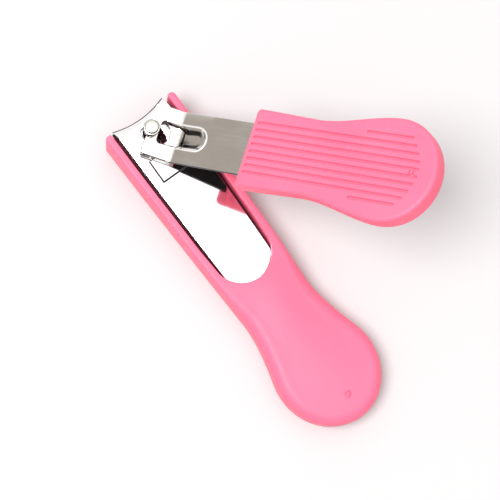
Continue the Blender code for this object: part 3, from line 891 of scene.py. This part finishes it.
class Looks:
    """A Principled material with helpers for the nodes around it."""

    def __init__(self, name):
        self.material = bpy.data.materials.new(name)
        self.material.use_nodes = True
        self.tree = self.material.node_tree
        self.shader = self.tree.nodes["Principled BSDF"]
        self.place = self.node("ShaderNodeTexCoord").outputs["Object"]

    def node(self, kind, **settings):
        made = self.tree.nodes.new(kind)
        for name, value in settings.items():
            setattr(made, name, value)
        return made

    def link(self, source, target):
        self.tree.links.new(source, target)

    def set(self, **values):
        for name, value in values.items():
            self.shader.inputs[name.replace("_", " ")].default_value = value

    def stretched(self, rotation, scale):
        """The object's coordinates turned and stretched."""
        made = self.node("ShaderNodeMapping", vector_type="TEXTURE")
        made.inputs["Rotation"].default_value = rotation
        made.inputs["Scale"].default_value = scale
        self.link(self.place, made.inputs["Vector"])
        return made.outputs["Vector"]

    def noise(self, scale, detail, vector=None):
        made = self.node("ShaderNodeTexNoise")
        made.inputs["Scale"].default_value = scale
        made.inputs["Detail"].default_value = detail
        self.link(vector or self.place, made.inputs["Vector"])
        return made.outputs["Fac"]

    def spread(self, source, low, high, to_low, to_high):
        made = self.node("ShaderNodeMapRange")
        for name, value in zip(("From Min", "From Max", "To Min", "To Max"), (low, high, to_low, to_high)):
            made.inputs[name].default_value = value
        self.link(source, made.inputs["Value"])
        return made.outputs["Result"]

    def between(self, factor, one, two):
        made = self.node("ShaderNodeMix", data_type="RGBA")
        made.inputs["A"].default_value = (*one, 1.0)
        made.inputs["B"].default_value = (*two, 1.0)
        self.link(factor, made.inputs["Factor"])
        return made.outputs["Result"]

    def towards(self, factor, source, colour):
        """The source mixed towards a colour by a factor."""
        made = self.node("ShaderNodeMix", data_type="RGBA")
        made.inputs["B"].default_value = (*colour, 1.0)
        self.link(source, made.inputs["A"])
        self.link(factor, made.inputs["Factor"])
        return made.outputs["Result"]

    def mark(self, name):
        """A value stored on the mesh's points."""
        return self.node("ShaderNodeAttribute", attribute_name=name).outputs["Fac"]

    def bump(self, height, strength, distance, before=None):
        made = self.node("ShaderNodeBump")
        made.inputs["Strength"].default_value = strength
        made.inputs["Distance"].default_value = distance
        self.link(height, made.inputs["Height"])
        if before:
            self.link(before, made.inputs["Normal"])
        return made.outputs["Normal"]


def plastic(name, pale, deep):
    """Satin moulded plastic: slight flow marks in its colour, an orange-peel skin and fine grain."""
    looks = Looks(name)
    flow = looks.noise(60.0, 3.0)
    tinted = looks.between(looks.spread(flow, 0.3, 0.7, 0.0, 1.0), pale, deep)
    looks.link(tinted, looks.shader.inputs["Base Color"])
    skin = looks.noise(1400.0, 2.0)
    grain = looks.noise(5200.0, 1.0)
    normal = looks.bump(skin, 0.12, 0.0001)
    normal = looks.bump(grain, 0.1, 0.00003, normal)
    looks.link(normal, looks.shader.inputs["Normal"])
    looks.link(looks.spread(skin, 0.3, 0.7, 0.42, 0.52), looks.shader.inputs["Roughness"])
    looks.set(Subsurface_Weight=0.12, Subsurface_Scale=0.001, Specular_IOR_Level=0.32)
    looks.shader.inputs["Subsurface Radius"].default_value = (1.0, 0.35, 0.4)
    return looks.material


def steel(name, colour, smooth, rough, streak_turn, streak, depth, pressed=False, matte_painted_shade=False):
    """Plated steel: streaks left by polishing, faint waviness and slightly uneven gloss.

    Pressed steel gets painted shade on its trough's walls and crease and a painted highlight on
    the trough's lip. Matte steel for painted shade loses nearly all its shine, so that a near-black colour
    stands in for shade.
    """
    looks = Looks(name)
    lines = looks.noise(1.0, 5.0, looks.stretched(streak_turn, streak))
    cloud = looks.noise(220.0, 3.0)
    mixed = looks.node("ShaderNodeMath", operation="ADD")
    looks.link(looks.spread(lines, 0.3, 0.7, smooth, rough), mixed.inputs[0])
    looks.link(looks.spread(cloud, 0.35, 0.75, 0.0, (rough - smooth) * 0.5), mixed.inputs[1])
    gloss = mixed.outputs["Value"]
    tinted = looks.between(looks.spread(lines, 0.35, 0.65, 0.0, 1.0), colour, [0.93 * c for c in colour])
    # Painted shade darkens the trough's walls and crease; a painted highlight whitens the trough's lip and
    # makes it rougher.
    if pressed:
        trough_painted_shade = looks.mark("trough_painted_shade")
        lip = looks.mark("lip")
        tinted = looks.towards(trough_painted_shade, tinted, (0.05, 0.045, 0.045))
        tinted = looks.towards(lip, tinted, (1.0, 1.0, 1.0))
        gloss = looks.towards(lip, gloss, (0.6, 0.6, 0.6))
    looks.link(gloss, looks.shader.inputs["Roughness"])
    looks.link(tinted, looks.shader.inputs["Base Color"])
    looks.link(looks.bump(lines, depth, 0.00004), looks.shader.inputs["Normal"])
    # Matte steel for painted shade keeps almost no metal shine.
    looks.set(Metallic=0.2 if matte_painted_shade else 1.0, Specular_IOR_Level=0.05 if matte_painted_shade else 0.5)
    return looks.material


# ---------------------------------------------------------------- studio

CAMERA_AZIMUTH = radians(-66.467)
CAMERA_ELEVATION = radians(79.378)
CAMERA_ROLL = radians(29.711)
CAMERA_TARGET = (1.517, -34.858, 10.0)
CAMERA_DISTANCE = 340.94
CAMERA_LENS = 109.79


def make_camera():
    data = bpy.data.cameras.new("camera")
    data.lens = CAMERA_LENS
    data.sensor_width = 36.0
    data.clip_start = 0.01
    camera = bpy.data.objects.new("camera", data)
    bpy.context.scene.collection.objects.link(camera)
    turn = Matrix.Rotation(CAMERA_AZIMUTH, 4, "Z") @ Matrix.Rotation(pi / 2 - CAMERA_ELEVATION, 4, "X")
    turn = turn @ Matrix.Rotation(CAMERA_ROLL, 4, "Z")
    back = turn.to_3x3() @ Vector((0, 0, CAMERA_DISTANCE * MM))
    camera.matrix_world = Matrix.Translation(Vector(CAMERA_TARGET) * MM + back) @ turn
    bpy.context.scene.camera = camera


def make_floor():
    half = 1.2
    bm = bmesh.new()
    corners = [(-half, -half), (half, -half), (half, half), (-half, half)]
    bm.faces.new([bm.verts.new((x, y, 0.0)) for x, y in corners])
    floor = to_object("floor", bm)
    floor.location.z = -0.00005
    looks = Looks("floor_paper")
    cloud = looks.noise(9.0, 3.0)
    tinted = looks.between(cloud, (0.53, 0.52, 0.525), (0.56, 0.55, 0.555))
    looks.link(tinted, looks.shader.inputs["Base Color"])
    looks.link(looks.bump(looks.noise(900.0, 2.0), 0.05, 0.0001), looks.shader.inputs["Normal"])
    looks.set(Roughness=0.85)
    floor.data.materials.append(looks.material)


def make_sky():
    """A white studio that is grey low down, except ahead of the jaws."""
    world = bpy.data.worlds.new("studio")
    bpy.context.scene.world = world
    world.use_nodes = True
    tree = world.node_tree
    background = tree.nodes["Background"]
    coordinates = tree.nodes.new("ShaderNodeTexCoord")
    split = tree.nodes.new("ShaderNodeSeparateXYZ")
    tree.links.new(coordinates.outputs["Generated"], split.inputs["Vector"])

    def step(axis, low, high, to_low, to_high):
        made = tree.nodes.new("ShaderNodeMapRange")
        made.interpolation_type = "SMOOTHSTEP"
        for name, value in zip(("From Min", "From Max", "To Min", "To Max"), (low, high, to_low, to_high)):
            made.inputs[name].default_value = value
        tree.links.new(split.outputs[axis], made.inputs["Value"])
        return made.outputs["Result"]

    def merge(operation, one, two):
        made = tree.nodes.new("ShaderNodeMath")
        made.operation = operation
        tree.links.new(one, made.inputs[0])
        tree.links.new(two, made.inputs[1])
        return made.outputs["Value"]

    ahead = merge("MULTIPLY", step("X", -0.2, 0.05, 0, 1), step("Y", 0.3, 0.55, 0, 1))
    white = merge("MAXIMUM", step("Z", 0.44, 0.7, 0, 1), ahead)
    colour = tree.nodes.new("ShaderNodeMix")
    colour.data_type = "RGBA"
    colour.inputs["A"].default_value = (0.38, 0.35, 0.315, 1.0)
    colour.inputs["B"].default_value = (1.0, 1.0, 1.0, 1.0)
    tree.links.new(white, colour.inputs["Factor"])
    tree.links.new(colour.outputs["Result"], background.inputs["Color"])
    tree.links.new(step("Z", 0.82, 0.93, 1.15, 1.6), background.inputs["Strength"])


def make_lamp(name, place, target, size, energy, colour):
    data = bpy.data.lights.new(name, "AREA")
    data.shape = "DISK"
    data.size = size
    data.energy = energy
    data.color = colour
    lamp = bpy.data.objects.new(name, data)
    lamp.location = place
    aim = Vector(target) - Vector(place)
    lamp.rotation_euler = aim.to_track_quat("-Z", "Y").to_euler()
    bpy.context.scene.collection.objects.link(lamp)


def main():
    pink = plastic("case_pink", (0.93, 0.15, 0.255), (0.9, 0.135, 0.235))
    grip_pink = plastic("grip_pink", (0.93, 0.145, 0.245), (0.9, 0.13, 0.225))
    along_arm = (0.0008, 0.02, 0.002)
    along_lever = (0.0004, 0.02, 0.004)
    turn = (0, 0, SWING)
    chrome = steel("arm_chrome", (0.93, 0.93, 0.94), 0.03, 0.07, (0, 0, 0), along_arm, 0.02)
    # Near-black steel for thin edges and walls: painted shade that draws dark outlines.
    edge_shade_paint = steel("edge_painted_shade", (0.05, 0.047, 0.047), 0.4, 0.6, (0, 0, 0), along_arm, 0.05)
    # Dark red steel for the arms' sides and undersides: a painted reflection of the pink case in shade.
    flank_painted_reflection = steel("arm_flank_painted_reflection", (0.16, 0.06, 0.08), 0.4, 0.55, (0, 0, 0), along_arm, 0.05)
    brushed = steel("lever_brushed", (0.84, 0.81, 0.78), 0.1, 0.22, turn, along_lever, 0.1, pressed=True)
    # Near-black, nearly unreflecting steel for the lever's underside: painted shade.
    dark = (0.008, 0.008, 0.008)
    underside = steel("lever_underside_painted_shade", dark, 0.35, 0.5, turn, along_lever, 0.05, matte_painted_shade=True)
    bright = steel("pin_bright", (0.7, 0.7, 0.64), 0.1, 0.2, (0, 0, 0), (0.002, 0.002, 0.0004), 0.03)
    make_case(pink)
    make_lower_arm([chrome, edge_shade_paint, flank_painted_reflection])
    make_upper_arm([chrome, edge_shade_paint, flank_painted_reflection])
    make_lever([brushed, edge_shade_paint, underside])
    make_pin([bright, edge_shade_paint])
    make_grip(grip_pink)
    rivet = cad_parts["arm_rivet"]
    rivet.data.materials.clear()
    rivet.data.materials.append(bright)

    make_floor()
    make_sky()
    make_lamp("softbox", (-0.35, 0.1, 0.9), (0.0, -0.03, 0.0), 0.5, 9.0, (1.0, 0.99, 0.98))
    make_camera()
    bpy.context.scene.view_settings.view_transform = "Standard"


main()
